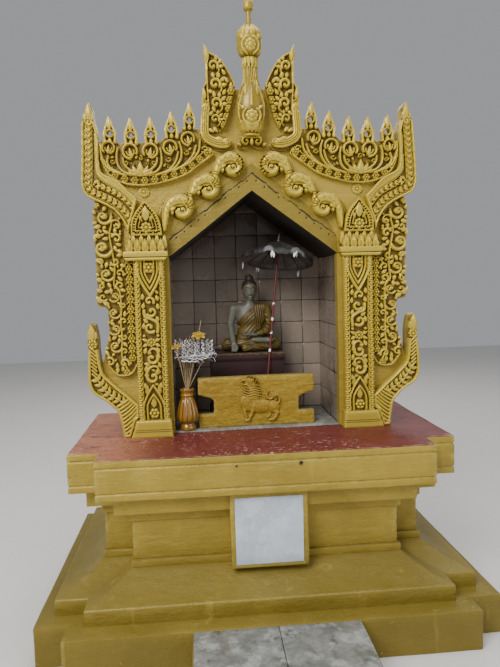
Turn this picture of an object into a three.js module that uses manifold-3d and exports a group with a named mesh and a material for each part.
// A small free-standing shrine of painted masonry: a stepped pedestal, a tiled niche with a gabled
// stucco front, and the altar, seated figure, parasol and vase inside it.
// Millimetres, +Z up, the front faces -Y. The origin is the middle of the plan, on the ground.
import * as THREE from "three";
import { mergeVertices } from "three/addons/utils/BufferGeometryUtils.js";
import Module from "manifold-3d";

const wasm = await Module();
wasm.setup();

// Driving dimensions.

// A plan is a rectangle with one notch at each corner: half sizes of the front part and the side part.
const PLINTH = { front: 774, side: 895, frontDepth: 667, sideDepth: 567 };
const COVE = { front: 705, side: 830, frontDepth: 584, sideDepth: 490 };
const BAND = { front: 551, side: 672, frontDepth: 397, sideDepth: 288 };
const CORBEL = { front: 602, side: 724, frontDepth: 445, sideDepth: 330 };
const FASCIA = { front: 661, side: 782, frontDepth: 499, sideDepth: 384 };
const DADO_INSET = 12;

// Heights of the courses, from the ground up.
const PLINTH_TOP = 152;
const COVE_EDGE = 213;
const COVE_TOP = 279;
const BAND_TOP = 309;
const DADO_TOP = 468;
const MOULDING_TOP = 512;
const CORBEL_TOP = 586;
const FASCIA_TOP = 741;
const RED_TOP = 745;
const FLOOR_TOP = 751;
const GROOVE_DEPTH = 4;
const GROOVE_HEIGHT = 6;
const GROOVE_FROM_EDGE = 25;
const COVE_BEND = 1.7;

// The step in front.
const STEP_HALF_WIDTH = 310;
const STEP_DEPTH = 380;
const TILE_THICKNESS = 12;
const TILE_SIZE = 304;

// The plaque on the dado, its lower edge on the cove.
const PLAQUE_HALF_WIDTH = 135;
const PLAQUE_BOTTOM = 292;
const PLAQUE_TOP = 562;
const PLAQUE_FRAME = 19;
const PLAQUE_FRONT = -468;
const PLAQUE_RECESS = 12;
const PLAQUE_FOOT_DEPTH = 12;

// The niche: a room with a gabled roof.
const ROOM_HALF_WIDTH = 367;
const SPRING = 1515;
const APEX = 1790;
const WALL_THICKNESS = 104;
const GLAZE_THICKNESS = 8;
const PLATE_FRONT = -114;
const PLATE_BACK = -69;
const ROOM_BACK = 312;
const BACK_WALL_BACK = 420;
const ROOF_THICKNESS = 75;
const ROOF_OVERHANG = 40;
const GAP = 0.3;

// The parapets and the middle of the gable board, behind the carved pieces.
const PLATE_TOP = 1996;
const SHOULDER_TOP = 2050;
const CENTRE_TOP = 2215;

// Depths of the carved pieces in front of the plate.
const BASE_FRONT = -183;
const SHAFT_FRONT = -166;
const CAPITAL_FRONT = -180;
const LEAF_FRONT = -172;
const FRETWORK_FRONT = -144;
const HORN_FRONT = -156;
const CRESCENT_FRONT = -149;
const SCROLL_FRONT = -166;
const WING_FRONT = -156;

const PLASTER = new THREE.MeshStandardMaterial({ color: 0xa08a2c, roughness: 0.65 });
const CARVED = new THREE.MeshStandardMaterial({ color: 0xb89a3a, roughness: 0.5 });
const RED = new THREE.MeshStandardMaterial({ color: 0x7a3430, roughness: 0.6 });
const MARBLE = new THREE.MeshStandardMaterial({ color: 0xe6e8ea, roughness: 0.35 });
const GREY_MARBLE = new THREE.MeshStandardMaterial({ color: 0x9fa09c, roughness: 0.45 });
const GLAZE = new THREE.MeshStandardMaterial({ color: 0x7d6c66, roughness: 0.25 });
const ALTAR = new THREE.MeshStandardMaterial({ color: 0xc08f1e, roughness: 0.6 });
const MAROON = new THREE.MeshStandardMaterial({ color: 0x3a1216, roughness: 0.3 });
const STATUE = new THREE.MeshStandardMaterial({ color: 0xb9bab4, roughness: 0.4 });
const LACQUER = new THREE.MeshStandardMaterial({ color: 0x7c1f1c, roughness: 0.35 });
const SILVER = new THREE.MeshStandardMaterial({ color: 0x8d8f95, roughness: 0.4, metalness: 0.3 });
const AMBER = new THREE.MeshStandardMaterial({ color: 0xa8641c, roughness: 0.2 });
const BAMBOO = new THREE.MeshStandardMaterial({ color: 0xb59a6a, roughness: 0.7 });
const PAPER = new THREE.MeshStandardMaterial({ color: 0xe9e9f2, roughness: 0.8 });

const shrine = new THREE.Group();

function addNode(name, geometry, material) {
  const mesh = new THREE.Mesh(geometry, material);
  mesh.name = name;
  shrine.add(mesh);
}

// Solid helpers.

function toManifold(geometry) {
  const bare = geometry.index ? geometry.toNonIndexed() : geometry.clone();
  for (const name of Object.keys(bare.attributes)) {
    if (name !== "position") bare.deleteAttribute(name);
  }
  const merged = mergeVertices(bare, 1e-3);
  const mesh = new wasm.Mesh({
    numProp: 3,
    vertProperties: new Float32Array(merged.attributes.position.array),
    triVerts: new Uint32Array(merged.index.array),
  });
  return new wasm.Manifold(mesh);
}

function toGeometry(solid) {
  const mesh = solid.getMesh();
  const geometry = new THREE.BufferGeometry();
  const position = new Float32Array(mesh.numVert * 3);
  for (let i = 0; i < mesh.numVert; i++) {
    position.set(mesh.vertProperties.subarray(i * mesh.numProp, i * mesh.numProp + 3), i * 3);
  }
  geometry.setAttribute("position", new THREE.BufferAttribute(position, 3));
  geometry.setIndex(new THREE.BufferAttribute(new Uint32Array(mesh.triVerts), 1));
  geometry.computeVertexNormals();
  return geometry;
}

function union(geometries) {
  return toGeometry(geometries.map(toManifold).reduce((sum, piece) => sum.add(piece)));
}

function cut(geometry, tools) {
  return toGeometry(tools.map(toManifold).reduce((rest, tool) => rest.subtract(tool), toManifold(geometry)));
}

function box(x0, x1, y0, y1, z0, z1) {
  const geometry = new THREE.BoxGeometry(x1 - x0, y1 - y0, z1 - z0);
  return geometry.translate((x0 + x1) / 2, (y0 + y1) / 2, (z0 + z1) / 2);
}

// A flat slab: an outline of [x, z] points, from y = front to y = back.
function slab(outline, front, back) {
  const shape = new THREE.Shape(outline.map(([x, z]) => new THREE.Vector2(x, z)));
  const geometry = new THREE.ExtrudeGeometry(shape, { depth: back - front, bevelEnabled: false });
  return geometry.rotateX(Math.PI / 2).translate(0, back, 0);
}

function mirrored(outline) {
  return outline.map(([x, z]) => [-x, z]);
}

// side is -1 for the left piece and 1 for the right piece: outlines are written for the right.
function onSide(outline, side) {
  return side > 0 ? outline : mirrored(outline);
}

// The space that a neighbouring slab takes up, with the gap all round it.
function spaceOf(outline, front, back) {
  return [[-GAP, 0], [GAP, 0], [0, -GAP], [0, GAP]].map(([dx, dz]) =>
    slab(outline.map(([x, z]) => [x + dx, z + dz]), front - 1, back + 1),
  );
}

// A smooth open curve through [x, z] points, as points again.
function smooth(points, steps) {
  const curve = new THREE.SplineCurve(points.map(([x, z]) => new THREE.Vector2(x, z)));
  return curve.getPoints(steps).map((p) => [p.x, p.y]);
}

// Part of an ellipse in the x-z plane, angles in degrees.
function arc(cx, cz, rx, rz, from, to, steps) {
  const points = [];
  for (let i = 0; i <= steps; i++) {
    const angle = THREE.MathUtils.degToRad(from + ((to - from) * i) / steps);
    points.push([cx + rx * Math.cos(angle), cz + rz * Math.sin(angle)]);
  }
  return points;
}

// A closed body through rings of [x, y, z] points with the same count, bottom ring first.
function loft(rings) {
  const count = rings[0].length;
  const position = rings.flat(2);
  const index = [];
  for (let r = 0; r + 1 < rings.length; r++) {
    for (let i = 0; i < count; i++) {
      const a = r * count + i;
      const b = r * count + ((i + 1) % count);
      index.push(a, b, b + count, a, b + count, a + count);
    }
  }
  const cap = THREE.ShapeUtils.triangulateShape(rings[0].map(([x, y]) => new THREE.Vector2(x, y)), []);
  const top = (rings.length - 1) * count;
  for (const [a, b, c] of cap) {
    index.push(a, c, b);
    index.push(top + a, top + b, top + c);
  }
  const geometry = new THREE.BufferGeometry();
  geometry.setAttribute("position", new THREE.BufferAttribute(new Float32Array(position), 3));
  geometry.setIndex(index);
  geometry.computeVertexNormals();
  return geometry;
}

// The twelve corners of a notched plan, drawn in by an inset, at a height.
function planRing(plan, inset, z) {
  const f = plan.front - inset;
  const s = plan.side - inset;
  const fd = plan.frontDepth - inset;
  const sd = plan.sideDepth - inset;
  const quarter = [[s, sd], [f, sd], [f, fd]];
  const ring = [];
  ring.push([-f, -fd, z], [f, -fd, z], [f, -sd, z], [s, -sd, z]);
  ring.push(...quarter.map(([x, y]) => [x, y, z]));
  ring.push([-f, fd, z], [-f, sd, z], [-s, sd, z], [-s, -sd, z], [-f, -sd, z]);
  return ring;
}

function course(plan, bottom, top, inset = 0) {
  return loft([planRing(plan, inset, bottom), planRing(plan, inset, top)]);
}

function ellipseRing(cx, cy, rx, ry, z, count) {
  const ring = [];
  for (let i = 0; i < count; i++) {
    const angle = (2 * Math.PI * i) / count;
    ring.push([cx + rx * Math.cos(angle), cy + ry * Math.sin(angle), z]);
  }
  return ring;
}

// A round upright piece from [radius, z] points that start and end on its axis.
function turned(profile, cx, cy, segments) {
  const points = profile.map(([r, z]) => new THREE.Vector2(r, z));
  return new THREE.LatheGeometry(points, segments).rotateX(Math.PI / 2).translate(cx, cy, 0);
}

function ball(cx, cy, cz, rx, ry, rz, across, down) {
  return new THREE.SphereGeometry(1, across, down).scale(rx, ry, rz).translate(cx, cy, cz);
}

// A round bar along a curve through [x, y, z] points.
function bar(points, radius, sides, steps) {
  const section = new THREE.Shape();
  section.absarc(0, 0, radius, 0, 2 * Math.PI);
  const path = new THREE.CatmullRomCurve3(points.map(([x, y, z]) => new THREE.Vector3(x, y, z)));
  return new THREE.ExtrudeGeometry(section, {
    steps,
    curveSegments: Math.ceil(sides / 2),
    extrudePath: path,
    bevelEnabled: false,
  });
}

// Pedestal.

function buildPedestal() {
  addNode("plinth_tier", course(PLINTH, 0, PLINTH_TOP), PLASTER);

  // The cove's back is hollow-curved: it rises slowly at the edge and steeply at the dado.
  const coveSteps = 5;
  const rings = [planRing(COVE, 0, PLINTH_TOP), planRing(COVE, 0, COVE_EDGE)];
  for (let i = 1; i <= coveSteps; i++) {
    const t = i / coveSteps;
    const between = {};
    for (const key of Object.keys(COVE)) {
      between[key] = COVE[key] + (BAND[key] - COVE[key]) * t;
    }
    rings.push(planRing(between, 0, COVE_EDGE + (COVE_TOP - COVE_EDGE) * t ** COVE_BEND));
  }
  addNode("cove_tier", loft(rings), PLASTER);

  addNode("dado_base_moulding", course(BAND, COVE_TOP, BAND_TOP), PLASTER);
  addNode("pedestal_dado", course(BAND, BAND_TOP, DADO_TOP, DADO_INSET), PLASTER);
  addNode("dado_top_moulding", course(BAND, DADO_TOP, MOULDING_TOP), PLASTER);
  addNode("corbel_course", course(CORBEL, MOULDING_TOP, CORBEL_TOP), PLASTER);

  // The fascia has a shallow groove near its lower edge and one near its upper edge.
  const grooves = [CORBEL_TOP + GROOVE_FROM_EDGE, FASCIA_TOP - GROOVE_FROM_EDGE - GROOVE_HEIGHT];
  const fascia = [planRing(FASCIA, 0, CORBEL_TOP)];
  for (const z of grooves) {
    fascia.push(planRing(FASCIA, 0, z));
    fascia.push(planRing(FASCIA, GROOVE_DEPTH, z + GROOVE_HEIGHT / 3));
    fascia.push(planRing(FASCIA, GROOVE_DEPTH, z + (2 * GROOVE_HEIGHT) / 3));
    fascia.push(planRing(FASCIA, 0, z + GROOVE_HEIGHT));
  }
  fascia.push(planRing(FASCIA, 0, FASCIA_TOP));
  addNode("cornice_fascia", loft(fascia), PLASTER);
  addNode("red_screed", course(FASCIA, FASCIA_TOP, RED_TOP, 3), RED);
}

function buildStep() {
  const back = -PLINTH.frontDepth;
  const front = back - STEP_DEPTH;
  const bed = PLINTH_TOP - TILE_THICKNESS;
  addNode("offering_step", box(-STEP_HALF_WIDTH, STEP_HALF_WIDTH, front, back, 0, bed), PLASTER);
  for (const side of [-1, 1]) {
    const near = side;
    const far = side * (1 + TILE_SIZE);
    const name = side < 0 ? "step_tile_left" : "step_tile_right";
    const tile = box(Math.min(near, far), Math.max(near, far), front + 4, back - GAP, bed, PLINTH_TOP);
    addNode(name, tile, GREY_MARBLE);
  }
}

// The frame stands on the cove and against the mouldings, so its back follows them.
function buildPlaque() {
  const outer = PLAQUE_HALF_WIDTH + PLAQUE_FRAME;
  const wall = -BAND.frontDepth + DADO_INSET;
  const frame = box(-outer, outer, PLAQUE_FRONT, wall, COVE_TOP - PLAQUE_FOOT_DEPTH, PLAQUE_TOP + PLAQUE_FRAME);
  const bed = PLAQUE_FRONT + PLAQUE_RECESS;
  const recess = box(-PLAQUE_HALF_WIDTH, PLAQUE_HALF_WIDTH, PLAQUE_FRONT - 1, bed, PLAQUE_BOTTOM, PLAQUE_TOP);
  const behind = [
    course(BAND, COVE_TOP - 1, BAND_TOP, -GAP),
    course(BAND, BAND_TOP - 1, DADO_TOP, DADO_INSET - GAP),
    course(BAND, DADO_TOP - 1, MOULDING_TOP, -GAP),
    course(CORBEL, MOULDING_TOP - GAP, CORBEL_TOP + 1, -GAP),
    box(-outer - 1, outer + 1, -BAND.frontDepth - 100, -300, 0, COVE_TOP + GAP),
  ];
  addNode("plaque_frame", cut(frame, [recess, ...behind]), PLASTER);
  const slabFront = PLAQUE_FRONT + 2;
  const half = PLAQUE_HALF_WIDTH - GAP;
  addNode("marble_plaque", box(-half, half, slabFront, bed - GAP, PLAQUE_BOTTOM + GAP, PLAQUE_TOP - GAP), MARBLE);
}

// Niche.

const ROOF_SLOPE = (APEX - SPRING) / ROOM_HALF_WIDTH;

function roofUnderside(x) {
  return APEX - ROOF_SLOPE * Math.abs(x);
}

function buildNiche() {
  const inner = ROOM_HALF_WIDTH + GLAZE_THICKNESS;
  const outer = inner + WALL_THICKNESS;
  const floorHalf = ROOM_HALF_WIDTH;
  addNode("niche_floor", box(-floorHalf, floorHalf, PLATE_FRONT, ROOM_BACK, RED_TOP, FLOOR_TOP), GREY_MARBLE);

  const wall = [[inner, RED_TOP], [outer, RED_TOP], [outer, roofUnderside(outer)], [inner, roofUnderside(inner)]];
  const skin = [
    [ROOM_HALF_WIDTH + GAP, RED_TOP],
    [inner, RED_TOP],
    [inner, roofUnderside(inner) - GAP],
    [ROOM_HALF_WIDTH + GAP, roofUnderside(inner) - GAP],
  ];
  for (const side of [-1, 1]) {
    const hand = side < 0 ? "left" : "right";
    addNode(`${hand}_wall`, slab(onSide(wall, side), PLATE_BACK, BACK_WALL_BACK), PLASTER);
    addNode(`${hand}_wall_tiles`, slab(onSide(skin, side), PLATE_BACK + GAP, ROOM_BACK - GAP), GLAZE);
  }

  const backInner = inner - GAP;
  const gable = [
    [-backInner, RED_TOP],
    [backInner, RED_TOP],
    [backInner, roofUnderside(backInner) - GAP],
    [0, APEX - GAP],
    [-backInner, roofUnderside(backInner) - GAP],
  ];
  addNode("back_wall_tiles", slab(gable, ROOM_BACK, ROOM_BACK + GLAZE_THICKNESS), GLAZE);
  addNode("back_wall", slab(gable, ROOM_BACK + GLAZE_THICKNESS, BACK_WALL_BACK), PLASTER);

  const rise = ROOF_THICKNESS * Math.hypot(1, ROOF_SLOPE);
  const eave = outer + ROOF_OVERHANG;
  const roof = [
    [GAP / 2, APEX],
    [eave, roofUnderside(eave)],
    [eave, roofUnderside(eave) + rise],
    [GAP / 2, APEX + rise],
  ];
  for (const side of [-1, 1]) {
    const name = side < 0 ? "roof_slab_left" : "roof_slab_right";
    addNode(name, slab(onSide(roof, side), PLATE_BACK, BACK_WALL_BACK + ROOF_OVERHANG), PLASTER);
  }
}

// Front: outlines in [x, z] for the right-hand side.

const HORN_TIP = [[718, 1125], [723, 1152], [718, 1179], [715, 1216], [704, 1243], [688, 1232], [681, 1200], [677, 1168], [677, 1125]];
const LOWER_HORN_OUTSIDE = smooth(
  [[587, 746], [595, 811], [605, 853], [627, 880], [656, 907], [691, 928], [712, 949], [725, 985], [724, 1040], [720, 1093], [718, 1125]],
  18,
);
const LOWER_HORN_INSIDE = smooth(
  [[677, 1125], [675, 1093], [670, 1051], [659, 1019], [632, 992], [600, 960], [568, 933], [547, 912], [522, 889]],
  12,
);
const UPPER_HORN_OUTSIDE = smooth(
  [[531, 1612], [549, 1663], [587, 1714], [647, 1747], [694, 1770], [713, 1808], [713, 1855], [708, 1943], [703, 2037], [699, 2079], [680, 2130], [670, 2152]],
  22,
);
const UPPER_HORN_INSIDE = smooth(
  [[670, 2152], [657, 2130], [654, 2083], [638, 2027], [640, 1920], [633, 1873], [610, 1855], [563, 1831], [517, 1784], [489, 1756]],
  18,
);
const PLATE_SIDE = 674;
const FRETWORK_EDGE_LOW = [
  [653, 1105],
  [645, 1136],
  [630, 1179],
  [630, 1290],
  [640, 1307],
  [672, 1312],
  [681, 1352],
  [671, 1380],
  [PLATE_SIDE, SPRING],
];
const FRETWORK_EDGE_HIGH = [
  [680, 1700],
  [668, 1752],
];
const CRESCENT_BELOW = smooth(
  [[633, 1920], [615, 1878], [587, 1845], [554, 1826], [517, 1816], [470, 1812], [423, 1816], [366, 1827], [312, 1843], [269, 1861], [225, 1894], [190, 1916], [160, 1940]],
  18,
);

function buildPlates() {
  const jamb = [
    [ROOM_HALF_WIDTH, RED_TOP],
    ...LOWER_HORN_OUTSIDE,
    ...HORN_TIP,
    ...LOWER_HORN_INSIDE.slice(0, 4),
    ...FRETWORK_EDGE_LOW,
    [ROOM_HALF_WIDTH, SPRING],
  ];
  for (const side of [-1, 1]) {
    const name = side < 0 ? "jamb_panel_left" : "jamb_panel_right";
    addNode(name, slab(onSide(jamb, side), PLATE_FRONT, PLATE_BACK), PLASTER);
  }
  const half = [
    [ROOM_HALF_WIDTH, SPRING],
    [PLATE_SIDE, SPRING],
    ...FRETWORK_EDGE_HIGH,
    ...UPPER_HORN_OUTSIDE.slice(7),
    ...UPPER_HORN_INSIDE.slice(1, 7),
    [636, PLATE_TOP],
    [370, PLATE_TOP],
    [240, SHOULDER_TOP],
    [196, SHOULDER_TOP],
    [150, CENTRE_TOP - 60],
    [92, CENTRE_TOP],
  ];
  const outline = [[0, APEX], ...half, ...mirrored(half).reverse()];
  addNode("gable_panel", slab(outline, PLATE_FRONT, PLATE_BACK), PLASTER);
}

const BASE = { inner: 375, outer: 551, top: 818 };
const SHAFT = { inner: 387, outer: 514, top: 1500 };
const CAPITAL = { abacusTop: 1540, lotusTop: 1604 };

const LEAF = [
  [392, CAPITAL.lotusTop],
  ...smooth([[518, CAPITAL.lotusTop], [519, 1650], [500, 1700], [458, 1748]], 6),
  ...smooth([[458, 1748], [414, 1700], [396, 1650], [392, CAPITAL.lotusTop + 1]], 6).slice(1),
];

function buildPilaster(side, hand) {
  const splayed = [
    [BASE.inner, RED_TOP],
    [BASE.outer, RED_TOP],
    [545, 770],
    [540, 776],
    [528, BASE.top],
    [380, BASE.top],
    [377, 776],
  ];
  addNode(`${hand}_pilaster_base`, slab(onSide(splayed, side), BASE_FRONT, PLATE_FRONT), CARVED);
  const shaft = [[SHAFT.inner, BASE.top], [SHAFT.outer, BASE.top], [SHAFT.outer, SHAFT.top], [SHAFT.inner, SHAFT.top]];
  addNode(`${hand}_pilaster_shaft`, slab(onSide(shaft, side), SHAFT_FRONT, PLATE_FRONT), CARVED);
  const capital = [
    [382, SHAFT.top],
    [542, SHAFT.top],
    [553, 1516],
    [553, 1534],
    [545, CAPITAL.abacusTop],
    [531, 1566],
    [528, CAPITAL.lotusTop],
    [378, CAPITAL.lotusTop],
    [372, 1566],
    [377, CAPITAL.abacusTop],
    [370, 1534],
    [370, 1516],
  ];
  addNode(`${hand}_pilaster_capital`, slab(onSide(capital, side), CAPITAL_FRONT, PLATE_FRONT), CARVED);
  addNode(`${hand}_pilaster_leaf`, slab(onSide(LEAF, side), LEAF_FRONT, PLATE_FRONT), CARVED);
}

const UPPER_HORN = [...UPPER_HORN_OUTSIDE, ...UPPER_HORN_INSIDE.slice(1), [505, 1704], [522, 1655]];

function buildFretwork(side, hand) {
  const clear = GAP * 2;
  const below = [[SHAFT.outer + clear, 1051], [536, 1019], [552, 1006], [595, 1006], [616, 1019], [637, 1056], [651, 1067]];
  const outline = [
    ...below,
    ...FRETWORK_EDGE_LOW,
    ...FRETWORK_EDGE_HIGH,
    [600, 1745],
    [SHAFT.outer + 42, 1690],
    [SHAFT.outer + 42, 1496],
    [SHAFT.outer + clear, 1496],
  ];
  const horn = spaceOf(onSide(UPPER_HORN, side), FRETWORK_FRONT, PLATE_FRONT);
  addNode(`${hand}_fretwork`, cut(slab(onSide(outline, side), FRETWORK_FRONT, PLATE_FRONT), horn), CARVED);
}

function buildHorns(side, hand) {
  const lower = [
    [556, 746],
    ...LOWER_HORN_OUTSIDE,
    ...HORN_TIP.slice(1, 8),
    ...LOWER_HORN_INSIDE,
    [516, 884],
    [516, 830],
    [531, 819],
    [546, 776],
  ];
  addNode(`${hand}_lower_horn`, slab(onSide(lower, side), HORN_FRONT, PLATE_FRONT), CARVED);
  addNode(`${hand}_upper_horn`, slab(onSide(UPPER_HORN, side), HORN_FRONT, PLATE_FRONT), CARVED);
}

// The crescent carries five flame-shaped finials, each with a keyhole.
const FINIALS = [
  { x: 590, base: 2000, tip: 2097, half: 27 },
  { x: 503, base: 1992, tip: 2092, half: 29 },
  { x: 420, base: 1996, tip: 2092, half: 28 },
  { x: 334, base: 2018, tip: 2118, half: 29 },
  { x: 258, base: 2054, tip: 2156, half: 25 },
];

function flame(finial) {
  const { x, base, tip, half } = finial;
  const height = tip - base;
  const right = smooth([[x + half * 0.8, base - 14], [x + half, base + height * 0.3], [x + half * 0.45, base + height * 0.68], [x + 4, tip]], 6);
  const left = right.map(([px, pz]) => [2 * x - px, pz]).reverse();
  return [...right, ...left];
}

function keyhole(finial) {
  const { x, base } = finial;
  return arc(x, base + 28, 8, 14, 0, 330, 8);
}

function buildCrescent(side, hand) {
  const top = [
    [196, 1985],
    [232, 2040],
    [290, 2052],
    [306, 2022],
    [370, 2010],
    [390, 1992],
    [600, 1992],
    [632, 2004],
  ];
  const outline = [...CRESCENT_BELOW, [168, 1958], ...top];
  const body = slab(onSide(outline, side), CRESCENT_FRONT, PLATE_FRONT);
  const flames = FINIALS.map((f) => slab(onSide(flame(f), side), CRESCENT_FRONT, PLATE_FRONT));
  const holes = FINIALS.map((f) => slab(onSide(keyhole(f), side), CRESCENT_FRONT - 1, PLATE_FRONT + 1));
  const horn = spaceOf(onSide(UPPER_HORN, side), CRESCENT_FRONT, PLATE_FRONT);
  addNode(`${hand}_crescent`, cut(union([body, ...flames]), [...holes, ...horn]), CARVED);
}

// Three volutes that climb beside the gable, joined by their stems like a wave.
const VOLUTES = [
  { x: 86, z: 1896, radius: 54 },
  { x: 190, z: 1806, radius: 54 },
  { x: 306, z: 1722, radius: 52 },
];

function buildWaveScroll(side, hand) {
  const pieces = VOLUTES.map((v) => slab(onSide(arc(v.x, v.z, v.radius, v.radius, 0, 342, 19), side), SCROLL_FRONT, PLATE_FRONT));
  for (let i = 0; i + 1 < VOLUTES.length; i++) {
    const above = VOLUTES[i];
    const under = VOLUTES[i + 1];
    const stem = [
      [above.x + 10, above.z + 50],
      [above.x + 62, above.z + 30],
      [above.x + 84, above.z - 18],
      [under.x + 6, under.z + 52],
      [under.x - 54, under.z - 8],
      [under.x - 46, under.z + 46],
      [above.x + 46, above.z - 28],
    ];
    pieces.push(slab(onSide(stem, side), SCROLL_FRONT, PLATE_FRONT));
  }
  const last = VOLUTES[2];
  const tail = [
    [last.x - 2, last.z + 50],
    [last.x + 50, last.z + 46],
    [last.x + 92, last.z + 6],
    [last.x + 108, last.z - 40],
    [385, 1620],
    [372, 1624],
    [last.x + 44, last.z + 8],
  ];
  pieces.push(slab(onSide(tail, side), SCROLL_FRONT, PLATE_FRONT));
  const leaf = spaceOf(onSide(LEAF, side), SCROLL_FRONT, PLATE_FRONT);
  addNode(`${hand}_wave_scroll`, cut(union(pieces), leaf), CARVED);
}

const WING_CLEAR = 2;

function buildWing(side, hand) {
  const wing = [
    ...smooth([[133, 2030], [103, 2070], [84, 2140], [64, 2215], [72, 2245], [92, 2285], [124, 2330], [160, 2352], [176, 2362], [190, 2391]], 14),
    [193, 2350],
    [187, 2310],
    [187, 2235],
    [199, 2215],
    [206, 2150],
    [203, 2118],
    [213, 2078],
    [215, 2006],
    [206, 1990],
    [178, 1976],
    ...smooth([[146, 1956], [110, 1953], [78, 1966], [80, 1990]], 4),
    [100, 2014],
  ];
  const body = slab(onSide(wing, side), WING_FRONT, PLATE_FRONT);
  const volute = VOLUTES[0];
  const clear = volute.radius + WING_CLEAR;
  const below = slab(onSide(arc(volute.x, volute.z, clear, clear, 0, 342, 19), side), WING_FRONT - 1, PLATE_FRONT + 1);
  const stemBelow = slab(onSide([[60, 1900], [90, 1952], [152, 1930], [172, 1880]], side), WING_FRONT - 1, PLATE_FRONT + 1);
  const crescentBeside = slab(onSide([[150, 1938], [166, 1960], [195, 1987], [231, 2045], [260, 1990], [200, 1905]], side), WING_FRONT - 1, PLATE_FRONT + 1);
  addNode(`${hand}_wing`, cut(body, [below, stemBelow, crescentBeside]), CARVED);
}

// The bird on the apex, on its scrolled foot, with a plumed head above a long neck.
const BIRD_Y = -150;
const BIRD_CLEAR = 3;
const PERCH_DEPTH = 26;

function buildBird() {
  const body = [
    ellipseRing(0, BIRD_Y, 30, 24, 2006, 14),
    ellipseRing(0, BIRD_Y, 30, 26, 2020, 14),
    ellipseRing(0, BIRD_Y, 50, 40, 2045, 14),
    ellipseRing(0, BIRD_Y, 60, 50, 2090, 14),
    ellipseRing(0, BIRD_Y, 62, 52, 2140, 14),
    ellipseRing(0, BIRD_Y, 52, 44, 2190, 14),
    ellipseRing(0, BIRD_Y, 36, 32, 2225, 14),
    ellipseRing(0, BIRD_Y, 32, 28, 2260, 14),
    ellipseRing(0, BIRD_Y, 33, 29, 2330, 14),
  ];
  const foot = slab([[-58, 1962], [58, 1962], [62, 1985], [46, 2004], [-46, 2004], [-62, 1985]], BIRD_Y - PERCH_DEPTH + 2, PLATE_FRONT);
  const perch = box(-34, 34, BIRD_Y - PERCH_DEPTH, PLATE_FRONT, 2003, 2021);
  const spine = box(-22, 22, BIRD_Y, PLATE_FRONT, 2015, 2200);
  const volute = VOLUTES[0];
  const clear = volute.radius + BIRD_CLEAR;
  const around = arc(volute.x, volute.z, clear, clear, 0, 342, 19);
  const between = [-1, 1].map((side) => slab(onSide(around, side), BIRD_Y - 60, PLATE_FRONT + 1));
  const plate = box(-100, 100, PLATE_FRONT, PLATE_FRONT + 90, 1900, CENTRE_TOP);
  addNode("bird_body", cut(union([loft(body), foot, perch, spine]), [...between, plate]), CARVED);
  const plume = [
    [0, 2330],
    [34, 2330],
    [52, 2346],
    [57, 2385],
    [55, 2425],
    [32, 2452],
    [14, 2462],
    [11, 2512],
    [20, 2522],
    [21, 2552],
    [13, 2570],
    [9, 2610],
    [14, 2622],
    [10, 2640],
    [0, 2700],
  ];
  addNode("bird_finial", turned(plume, 0, BIRD_Y, 12), CARVED);
}

// Things in the niche.

const ALTAR_FRONT = -67;
const ALTAR_BACK = -27;
const LION_DEPTH = 14;

// The lacquered stand, longer on the left; its foot and its rim stand out from its body.
const STAND = { left: -198, right: 142, front: 33, back: 263, top: 1070 };
const STAND_TOP = STAND.top;
const STAND_FOOT_REACH = 8;
const STAND_RIM_REACH = 6;

function buildAltar() {
  const half = [[262, FLOOR_TOP], [262, 812], [192, 812], [192, 872], [206, 884], [262, 901], [262, 976]];
  addNode("offering_altar", slab([...half, ...mirrored(half).reverse()], ALTAR_FRONT, ALTAR_BACK), ALTAR);
  // The walking lion in relief, drawn from its hind foot round the back to the fore feet.
  const lion = [
    [48, 771],
    [82, 772],
    [92, 800],
    [100, 806],
    [94, 830],
    [92, 866],
    [78, 876],
    [46, 868],
    [22, 870],
    [20, 905],
    [22, 940],
    [-4, 962],
    [-20, 972],
    [-44, 966],
    [-58, 946],
    [-50, 925],
    [-54, 900],
    [-70, 880],
    [-72, 850],
    [-58, 830],
    [-44, 812],
    [-48, 768],
    [-24, 768],
    [-8, 812],
    [10, 800],
    [40, 790],
    [62, 786],
  ];
  addNode("lion_relief", slab(lion, ALTAR_FRONT - LION_DEPTH, ALTAR_FRONT), ALTAR);
}

function standRing(reach, z) {
  const { left, right, front, back } = STAND;
  const x0 = left - reach;
  const x1 = right + reach;
  return [[x0, front - reach, z], [x1, front - reach, z], [x1, back + reach, z], [x0, back + reach, z]];
}

function buildStand() {
  const stand = loft([
    standRing(STAND_FOOT_REACH, FLOOR_TOP),
    standRing(STAND_FOOT_REACH, FLOOR_TOP + 40),
    standRing(0, FLOOR_TOP + 52),
    standRing(0, STAND_TOP - 40),
    standRing(STAND_RIM_REACH, STAND_TOP - 24),
    standRing(STAND_RIM_REACH, STAND_TOP),
  ]);
  addNode("statue_pedestal", stand, MAROON);
}

// The seated figure, cross-legged, on a low cushion.
const FIGURE_Y = 143;

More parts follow.
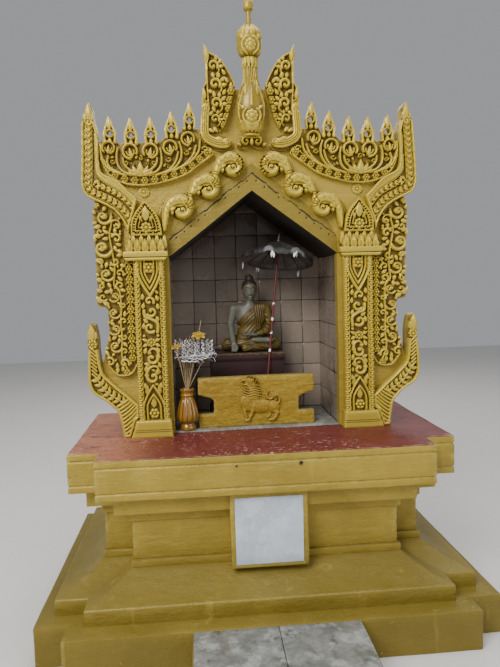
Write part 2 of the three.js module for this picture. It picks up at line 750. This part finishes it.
function buildFigure() {
  const legs = loft([
    ellipseRing(0, FIGURE_Y, 138, 88, STAND_TOP, 24),
    ellipseRing(0, FIGURE_Y, 145, 93, STAND_TOP + 16, 24),
    ellipseRing(0, FIGURE_Y, 141, 90, STAND_TOP + 42, 24),
    ellipseRing(0, FIGURE_Y + 4, 108, 72, STAND_TOP + 66, 24),
    ellipseRing(0, FIGURE_Y + 12, 60, 46, STAND_TOP + 78, 24),
  ]);
  const torso = loft([
    ellipseRing(0, FIGURE_Y + 18, 62, 44, STAND_TOP + 50, 20),
    ellipseRing(0, FIGURE_Y + 18, 60, 40, STAND_TOP + 110, 20),
    ellipseRing(0, FIGURE_Y + 18, 70, 42, STAND_TOP + 170, 20),
    ellipseRing(0, FIGURE_Y + 18, 84, 38, STAND_TOP + 205, 20),
    ellipseRing(0, FIGURE_Y + 18, 66, 32, STAND_TOP + 226, 20),
    ellipseRing(0, FIGURE_Y + 16, 26, 24, STAND_TOP + 240, 20),
    ellipseRing(0, FIGURE_Y + 14, 22, 23, STAND_TOP + 262, 20),
  ]);
  const head = ball(0, FIGURE_Y + 10, STAND_TOP + 288, 39, 44, 54, 16, 12);
  const topknot = turned([[0, STAND_TOP + 320], [26, STAND_TOP + 324], [24, STAND_TOP + 352], [12, STAND_TOP + 372], [0, STAND_TOP + 379]], 0, FIGURE_Y + 16, 14);
  const rightArm = bar([[-84, FIGURE_Y + 16, STAND_TOP + 206], [-101, FIGURE_Y + 10, STAND_TOP + 130], [-93, FIGURE_Y - 40, STAND_TOP + 72], [-88, FIGURE_Y - 84, STAND_TOP + 34]], 20, 8, 7);
  const leftArm = bar([[84, FIGURE_Y + 16, STAND_TOP + 206], [94, FIGURE_Y + 10, STAND_TOP + 130], [62, FIGURE_Y - 34, STAND_TOP + 84], [4, FIGURE_Y - 52, STAND_TOP + 76]], 20, 8, 7);
  addNode("seated_figure", union([legs, torso, head, topknot, rightArm, leftArm]), STATUE);
}

// The parasol's pole leans to the right and back, and its canopy sits a little askew on it.
const POLE_FOOT = [33.6, -21.5, FLOOR_TOP + 1];
const POLE_TOP = [138, 87.5, 1572.5];
const POLE_RADIUS = 5;
const CANOPY_RADIUS = 169;
const CANOPY_MIDDLE = [127, 76, 1486.5];
const CANOPY_AXIS = [0.124, 0.2, 0.972];

function buildParasol() {
  addNode("parasol_pole", bar([POLE_FOOT, POLE_TOP], POLE_RADIUS, 8, 1), LACQUER);
  const rim = CANOPY_RADIUS;
  const outside = [[rim, 0], [rim + 1, 14], [rim - 6, 24], [rim - 52, 50], [60, 80], [20, 94], [9, 104], [7, 136], [0, 144]];
  const inside = [[0, 88], [16, 88], [58, 74], [rim - 56, 44], [rim - 11, 20], [rim - 4, 12], [rim - 4, 0]];
  const canopy = turned([...inside, ...outside], 0, 0, 24);
  const axis = new THREE.Vector3(...CANOPY_AXIS).normalize();
  const turn = new THREE.Quaternion().setFromUnitVectors(new THREE.Vector3(0, 0, 1), axis);
  addNode("parasol_canopy", canopy.applyQuaternion(turn).translate(...CANOPY_MIDDLE), SILVER);
}

const VASE = { x: -311, y: -82, height: 185 };

function buildVase() {
  const base = FLOOR_TOP;
  const profile = [
    [0, 0],
    [34, 0],
    [35, 18],
    [29, 32],
    [46, 44],
    [49.5, 60],
    [44, 100],
    [30, 142],
    [27, 156],
    [31, 172],
    [31, VASE.height],
    [26, VASE.height],
    [26, VASE.height - 10],
    [0, VASE.height - 10],
  ];
  addNode("offering_vase", turned(profile.map(([r, z]) => [r, z + base]), VASE.x, VASE.y, 16), AMBER);
}

// Sticks that stand in the sand of the vase and fan out, joined where they stand.
const STICKS = [
  { top: [-352, -124, 1130] },
  { top: [-335, -100, 1160] },
  { top: [-305, -88, 1165] },
  { top: [-272, -96, 1160] },
  { top: [-238, -92, 1236] },
  { top: [-205, -98, 1120] },
];

const STICK_RADIUS = 1.6;
const SAND_TOP = FLOOR_TOP + VASE.height - 10;

// The stick stands a little off the vase's axis, on the side that it leans to.
function stickFoot(top) {
  const lean = 0.05;
  return [VASE.x + (top[0] - VASE.x) * lean, VASE.y + (top[1] - VASE.y) * lean, SAND_TOP + 2];
}

function buildSticks() {
  const clump = turned([[0, SAND_TOP], [14, SAND_TOP], [12, SAND_TOP + 8], [0, SAND_TOP + 9]], VASE.x, VASE.y, 10);
  const sticks = STICKS.map(({ top }) => bar([stickFoot(top), top], STICK_RADIUS, 6, 1));
  addNode("incense_sticks", union([clump, ...sticks]), BAMBOO);
}

function buildStreamers() {
  const rings = [
    [-286, -94, 66, 22, 1062],
    [-278, -94, 82, 30, 1082],
    [-270, -94, 90, 32, 1120],
    [-266, -94, 88, 26, 1156],
  ].map(([x, y, rx, ry, z]) => ellipseRing(x, y, rx, ry, z, 14));
  const bunch = loft(rings);
  const clear = STICKS.map(({ top }) => {
    const foot = stickFoot(top);
    const beyond = top.map((value, i) => value + (value - foot[i]) * 0.3);
    return bar([foot, beyond], STICK_RADIUS + GAP * 1.5, 6, 1);
  });
  addNode("paper_streamers", cut(bunch, clear), PAPER);
}

buildPedestal();
buildStep();
buildPlaque();
buildNiche();
buildPlates();
for (const [side, hand] of [[-1, "left"], [1, "right"]]) {
  buildPilaster(side, hand);
  buildFretwork(side, hand);
  buildHorns(side, hand);
  buildCrescent(side, hand);
  buildWaveScroll(side, hand);
  buildWing(side, hand);
}
buildBird();
buildAltar();
buildStand();
buildFigure();
buildParasol();
buildVase();
buildSticks();
buildStreamers();

export default shrine;
